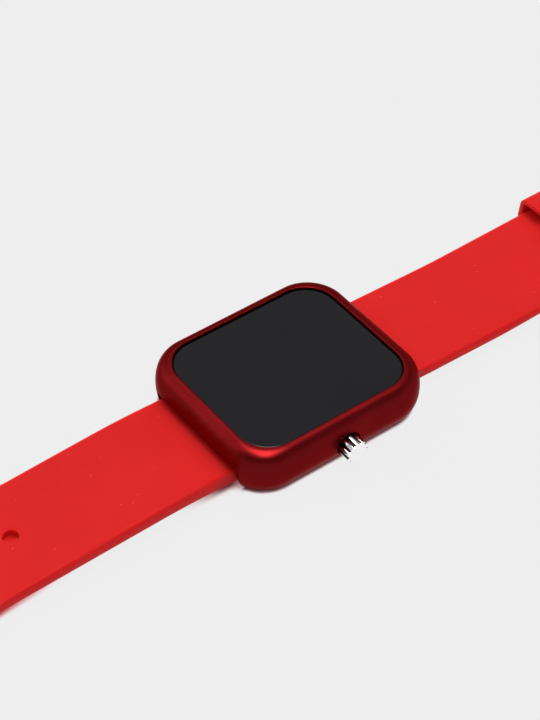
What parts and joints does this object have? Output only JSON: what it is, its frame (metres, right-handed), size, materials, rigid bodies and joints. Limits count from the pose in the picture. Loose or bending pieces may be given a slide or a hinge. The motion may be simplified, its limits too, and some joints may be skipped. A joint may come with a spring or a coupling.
{
  "type": "wristwatch",
  "caption": "Square digital wristwatch with a dark blank display, a fluted pushing crown, and a silicone strap with buckle and loose keeper, laid open.",
  "frame": {"origin": "centre of the flat case back, on the surface that the watch lies on", "axes": "+X towards the crown (3 o'clock), +Y along the buckle strap (12 o'clock), +Z out of the display"},
  "size_m": [0.0397, 0.2435, 0.0101],
  "materials": {
    "case_red": "satin red metallic",
    "lens_black": "dark and glossy",
    "strap_red": "matte silicone",
    "bright_steel": "polished",
    "back_steel": "brushed",
    "plain_steel": "plain",
    "brass": "plain",
    "contact_gold": "gold plated",
    "black_plastic": "matte",
    "board_green": "satin",
    "milky_plastic": "milky",
    "lamp_plastic": "clear",
    "film_plastic": "thin film",
    "black_rubber": "soft"
  },
  "bodies": {
    "case": {"case_shell": "case_red", "display_lens": "lens_black", "lens_tape": "black_plastic", "back_plate": "back_steel", "back_gasket": "black_rubber", "cell_holder": "black_plastic", "coin_cell": "plain_steel", "insulating_film": "film_plastic", "cell_contact": "contact_gold", "cell_clip": "contact_gold", "circuit_board": "board_green", "control_chip": "black_plastic", "crystal_can": "plain_steel", "switch_leaf": "contact_gold", "display_mask": "black_plastic", "light_segments": "milky_plastic", "led_chips": "lamp_plastic", "crown_tube": "brass", "crown_spring": "plain_steel", "bar_tube_12": "plain_steel", "bar_tube_6": "plain_steel"},
    "crown_carrier": {"crown_clip": "plain_steel"},
    "crown": {"crown": "bright_steel", "crown_seal": "black_rubber"},
    "hole_strap": {"hole_strap": "strap_red"},
    "buckle_strap": {"buckle_strap": "strap_red"},
    "keeper": {"keeper": "strap_red"},
    "buckle": {"buckle_frame": "bright_steel", "buckle_pin": "plain_steel"},
    "tongue": {"buckle_tongue": "bright_steel"},
    "bar_pin_12_left": {"bar_pin_12_left": "plain_steel"},
    "bar_pin_12_right": {"bar_pin_12_right": "plain_steel"},
    "bar_pin_6_left": {"bar_pin_6_left": "plain_steel"},
    "bar_pin_6_right": {"bar_pin_6_right": "plain_steel"}
  },
  "joints": [
    {"name": "crown_press", "type": "slide", "parent": "case", "child": "crown_carrier", "axis": [-1, 0, 0], "range_m": [0, 0.0008], "stiffness_N_per_m": 800, "springref_m": -0.0005, "deforming": ["crown_spring"]},
    {"name": "crown_turn", "type": "hinge", "parent": "crown_carrier", "child": "crown", "pos_m": [0.0146, 0, 0.0044], "axis": [1, 0, 0], "continuous": true},
    {"name": "hole_strap_bend", "type": "hinge", "parent": "case", "child": "hole_strap", "pos_m": [0, -0.0189, 0.0032], "axis": [1, 0, 0], "range_deg": [-10, 75]},
    {"name": "buckle_strap_bend", "type": "hinge", "parent": "case", "child": "buckle_strap", "pos_m": [0, 0.0189, 0.0032], "axis": [1, 0, 0], "range_deg": [-75, 10]},
    {"name": "keeper_slide", "type": "slide", "parent": "buckle_strap", "child": "keeper", "axis": [0, 1, 0], "range_m": [-0.039, 0.007]},
    {"name": "buckle_swing", "type": "hinge", "parent": "buckle_strap", "child": "buckle", "pos_m": [0, 0.097, 0.002], "axis": [1, 0, 0], "range_deg": [-80, 50]},
    {"name": "tongue_swing", "type": "hinge", "parent": "buckle", "child": "tongue", "pos_m": [0, 0.097, 0.002], "axis": [1, 0, 0], "range_deg": [0, 100]},
    {"name": "bar_pin_12_left_press", "type": "slide", "parent": "case", "child": "bar_pin_12_left", "axis": [1, 0, 0], "range_m": [0, 0.0011], "stiffness_N_per_m": 200, "springref_m": -0.002},
    {"name": "bar_pin_12_right_press", "type": "slide", "parent": "case", "child": "bar_pin_12_right", "axis": [-1, 0, 0], "range_m": [0, 0.0011], "stiffness_N_per_m": 200, "springref_m": -0.002},
    {"name": "bar_pin_6_left_press", "type": "slide", "parent": "case", "child": "bar_pin_6_left", "axis": [1, 0, 0], "range_m": [0, 0.0011], "stiffness_N_per_m": 200, "springref_m": -0.002},
    {"name": "bar_pin_6_right_press", "type": "slide", "parent": "case", "child": "bar_pin_6_right", "axis": [-1, 0, 0], "range_m": [0, 0.0011], "stiffness_N_per_m": 200, "springref_m": -0.002}
  ]
}
